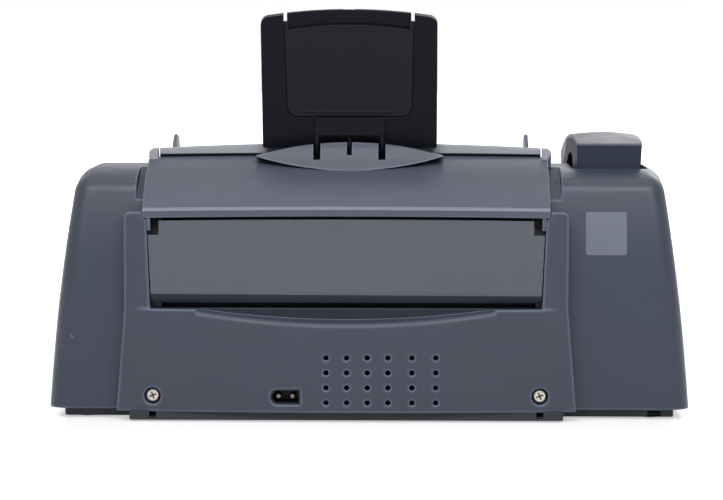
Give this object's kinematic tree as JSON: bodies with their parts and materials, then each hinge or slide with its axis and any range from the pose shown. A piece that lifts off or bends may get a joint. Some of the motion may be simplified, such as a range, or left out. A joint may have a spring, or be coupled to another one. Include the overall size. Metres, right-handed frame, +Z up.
{
  "type": "fax machine",
  "caption": "Desktop inkjet fax machine with handset, sloped key panel, upright document tray with flap, rear access door, vents and inlet.",
  "frame": {"origin": "on the table, under the middle of the machine's box", "axes": "+Z up, +X along the machine's width, -Y towards the user at the control panel, +Y towards the rear door and power inlet"},
  "size_m": [0.4002, 0.268, 0.2546],
  "materials": {
    "casing": "fine satin moulded plastic, slate blue-grey",
    "cover": "satin moulded plastic, darker slate",
    "navy": "near-black navy plastic, satin",
    "light_grey": "light grey plastic, satin",
    "black": "black plastic",
    "key": "pale grey key caps",
    "start": "green translucent-look key",
    "cancel": "red key",
    "mat": "grey silicone",
    "steel": "zinc plated steel",
    "rubber": "black rubber",
    "gear": "natural acetal",
    "board": "green board with dark parts",
    "window": "clear window over a grey-green display",
    "pan": "near-black plastic"
  },
  "bodies": {
    "machine": {"base_pan": "pan", "rubber_feet": "rubber", "main_casing": "casing", "rear_bezel": "casing", "power_inlet": "black", "casing_screws": "steel", "top_cover": "cover", "feeder_bed": "light_grey", "scan_bar": "black", "control_panel": "light_grey", "lcd_window": "window", "function_key_mat": "mat", "paper_tray": "navy", "mech_frame": "steel", "carriage_rod": "steel", "carriage_belt": "rubber", "drive_motors": "steel", "output_tray": "navy", "transport_belt": "rubber", "platen": "black", "service_station": "black", "power_supply": "steel", "circuit_boards": "board", "side_jacks": "black"},
    "rear_door": {"rear_door": "cover"},
    "document_tray": {"document_tray": "navy"},
    "tray_extension": {"tray_extension": "navy"},
    "guide_left": {"guide_left": "light_grey"},
    "guide_right": {"guide_right": "light_grey"},
    "guide_pinion": {"guide_pinion": "gear"},
    "feeder_lid": {"feeder_lid": "cover", "separation_pad": "rubber"},
    "adf_roller": {"adf_roller": "rubber"},
    "handset": {"handset_shell": "light_grey", "handset_cover": "casing"},
    "hook_switch": {"hook_switch": "black"},
    "front_door": {"front_door": "cover"},
    "tray_extender": {"tray_extender": "navy"},
    "width_guide": {"width_guide": "navy"},
    "carriage": {"carriage": "black", "ink_cartridges": "black"},
    "drive_pulley": {"drive_pulley": "gear"},
    "idler_pulley": {"idler_pulley": "gear"},
    "feed_roller": {"feed_roller": "rubber"},
    "motor_pinion": {"motor_pinion": "gear"},
    "exit_roller": {"exit_roller": "rubber"},
    "start_key": {"start_key": "start"},
    "cancel_key": {"cancel_key": "cancel"},
    "key_1": {"key_1": "key"},
    "key_2": {"key_2": "key"},
    "key_3": {"key_3": "key"},
    "key_4": {"key_4": "key"},
    "key_5": {"key_5": "key"},
    "key_6": {"key_6": "key"},
    "key_7": {"key_7": "key"},
    "key_8": {"key_8": "key"},
    "key_9": {"key_9": "key"},
    "key_star": {"key_star": "key"},
    "key_0": {"key_0": "key"},
    "key_hash": {"key_hash": "key"}
  },
  "joints": [
    {"name": "rear_door_hinge", "type": "hinge", "parent": "machine", "child": "rear_door", "pos_m": [0.0137, 0.123, 0.0768], "axis": [-1, 0, 0], "range_deg": [0, 75]},
    {"name": "document_tray_lift", "type": "slide", "parent": "machine", "child": "document_tray", "axis": [0, 0.2419, 0.9703], "range_m": [0, 0.022]},
    {"name": "tray_extension_swing", "type": "hinge", "parent": "document_tray", "child": "tray_extension", "pos_m": [0.0125, 0.09325, 0.24608], "axis": [1, 0, 0], "range_deg": [0, 165]},
    {"name": "guide_left_slide", "type": "slide", "parent": "machine", "child": "guide_left", "axis": [-1, 0, 0], "range_m": [0, 0.034]},
    {"name": "guide_right_slide", "type": "slide", "parent": "machine", "child": "guide_right", "axis": [1, 0, 0], "range_m": [0, 0.034]},
    {"name": "guide_pinion_spin", "type": "hinge", "parent": "machine", "child": "guide_pinion", "pos_m": [0.0125, 0.049, 0.1553], "axis": [0, -0.4226, 0.9063], "range_deg": [-340, 10]},
    {"name": "feeder_lid_hinge", "type": "hinge", "parent": "machine", "child": "feeder_lid", "pos_m": [0.0125, -0.0175, 0.1468], "axis": [1, 0, 0], "range_deg": [0, 60]},
    {"name": "adf_roller_spin", "type": "hinge", "parent": "machine", "child": "adf_roller", "pos_m": [0.0125, 0.016, 0.1314], "axis": [1, 0, 0], "continuous": true},
    {"name": "handset_lift", "type": "slide", "parent": "machine", "child": "handset", "axis": [0, 0, 1], "range_m": [0, 0.06]},
    {"name": "hook_switch_press", "type": "slide", "parent": "machine", "child": "hook_switch", "axis": [0, 0, -1], "range_m": [0, 0.002], "stiffness_N_per_m": 60, "springref_m": -0.001},
    {"name": "front_door_hinge", "type": "hinge", "parent": "machine", "child": "front_door", "pos_m": [0.0125, -0.0955, 0.0593], "axis": [1, 0, 0], "range_deg": [0, 75]},
    {"name": "tray_extender_slide", "type": "slide", "parent": "machine", "child": "tray_extender", "axis": [0, -1, 0], "range_m": [0, 0.07]},
    {"name": "width_guide_slide", "type": "slide", "parent": "machine", "child": "width_guide", "axis": [-1, 0, 0], "range_m": [0, 0.048]},
    {"name": "carriage_slide", "type": "slide", "parent": "machine", "child": "carriage", "axis": [-1, 0, 0], "range_m": [0, 0.14]},
    {"name": "drive_pulley_spin", "type": "hinge", "parent": "machine", "child": "drive_pulley", "pos_m": [0.1105, 0.024, 0.0948], "axis": [0, 1, 0], "range_deg": [-1300, 10]},
    {"name": "idler_pulley_spin", "type": "hinge", "parent": "machine", "child": "idler_pulley", "pos_m": [-0.0855, 0.024, 0.0948], "axis": [0, 1, 0], "range_deg": [-1300, 10]},
    {"name": "feed_roller_spin", "type": "hinge", "parent": "machine", "child": "feed_roller", "pos_m": [0.0125, 0.08, 0.0648], "axis": [1, 0, 0], "continuous": true},
    {"name": "motor_pinion_spin", "type": "hinge", "parent": "machine", "child": "motor_pinion", "pos_m": [0.0125, 0.0548, 0.07935], "axis": [1, 0, 0], "continuous": true},
    {"name": "exit_roller_spin", "type": "hinge", "parent": "machine", "child": "exit_roller", "pos_m": [0.0125, -0.062, 0.0393], "axis": [1, 0, 0], "continuous": true},
    {"name": "key_1_press", "type": "slide", "parent": "machine", "child": "key_1", "axis": [0, 0.21, -0.9777], "range_m": [0, 0.0012], "stiffness_N_per_m": 300, "springref_m": -0.0004},
    {"name": "key_2_press", "type": "slide", "parent": "machine", "child": "key_2", "axis": [0, 0.21, -0.9777], "range_m": [0, 0.0012], "stiffness_N_per_m": 300, "springref_m": -0.0004},
    {"name": "key_3_press", "type": "slide", "parent": "machine", "child": "key_3", "axis": [0, 0.21, -0.9777], "range_m": [0, 0.0012], "stiffness_N_per_m": 300, "springref_m": -0.0004},
    {"name": "key_4_press", "type": "slide", "parent": "machine", "child": "key_4", "axis": [0, 0.21, -0.9777], "range_m": [0, 0.0012], "stiffness_N_per_m": 300, "springref_m": -0.0004},
    {"name": "key_5_press", "type": "slide", "parent": "machine", "child": "key_5", "axis": [0, 0.21, -0.9777], "range_m": [0, 0.0012], "stiffness_N_per_m": 300, "springref_m": -0.0004},
    {"name": "key_6_press", "type": "slide", "parent": "machine", "child": "key_6", "axis": [0, 0.21, -0.9777], "range_m": [0, 0.0012], "stiffness_N_per_m": 300, "springref_m": -0.0004},
    {"name": "key_7_press", "type": "slide", "parent": "machine", "child": "key_7", "axis": [0, 0.21, -0.9777], "range_m": [0, 0.0012], "stiffness_N_per_m": 300, "springref_m": -0.0004},
    {"name": "key_8_press", "type": "slide", "parent": "machine", "child": "key_8", "axis": [0, 0.21, -0.9777], "range_m": [0, 0.0012], "stiffness_N_per_m": 300, "springref_m": -0.0004},
    {"name": "key_9_press", "type": "slide", "parent": "machine", "child": "key_9", "axis": [0, 0.21, -0.9777], "range_m": [0, 0.0012], "stiffness_N_per_m": 300, "springref_m": -0.0004},
    {"name": "key_star_press", "type": "slide", "parent": "machine", "child": "key_star", "axis": [0, 0.21, -0.9777], "range_m": [0, 0.0012], "stiffness_N_per_m": 300, "springref_m": -0.0004},
    {"name": "key_0_press", "type": "slide", "parent": "machine", "child": "key_0", "axis": [0, 0.21, -0.9777], "range_m": [0, 0.0012], "stiffness_N_per_m": 300, "springref_m": -0.0004},
    {"name": "key_hash_press", "type": "slide", "parent": "machine", "child": "key_hash", "axis": [0, 0.21, -0.9777], "range_m": [0, 0.0012], "stiffness_N_per_m": 300, "springref_m": -0.0004},
    {"name": "start_key_press", "type": "slide", "parent": "machine", "child": "start_key", "axis": [0, 0.21, -0.9777], "range_m": [0, 0.0012], "stiffness_N_per_m": 300, "springref_m": -0.0004},
    {"name": "cancel_key_press", "type": "slide", "parent": "machine", "child": "cancel_key", "axis": [0, 0.21, -0.9777], "range_m": [0, 0.0012], "stiffness_N_per_m": 300, "springref_m": -0.0004}
  ],
  "couplings": [
    {"joint": "guide_right_slide", "follows": "guide_left_slide", "ratio": 1},
    {"joint": "guide_pinion_spin", "follows": "guide_left_slide", "rad_per_m": -166.67},
    {"joint": "drive_pulley_spin", "follows": "carriage_slide", "rad_per_m": -151.52},
    {"joint": "idler_pulley_spin", "follows": "carriage_slide", "rad_per_m": -151.52},
    {"joint": "motor_pinion_spin", "follows": "feed_roller_spin", "ratio": -3.1429},
    {"joint": "exit_roller_spin", "follows": "feed_roller_spin", "ratio": 1}
  ]
}
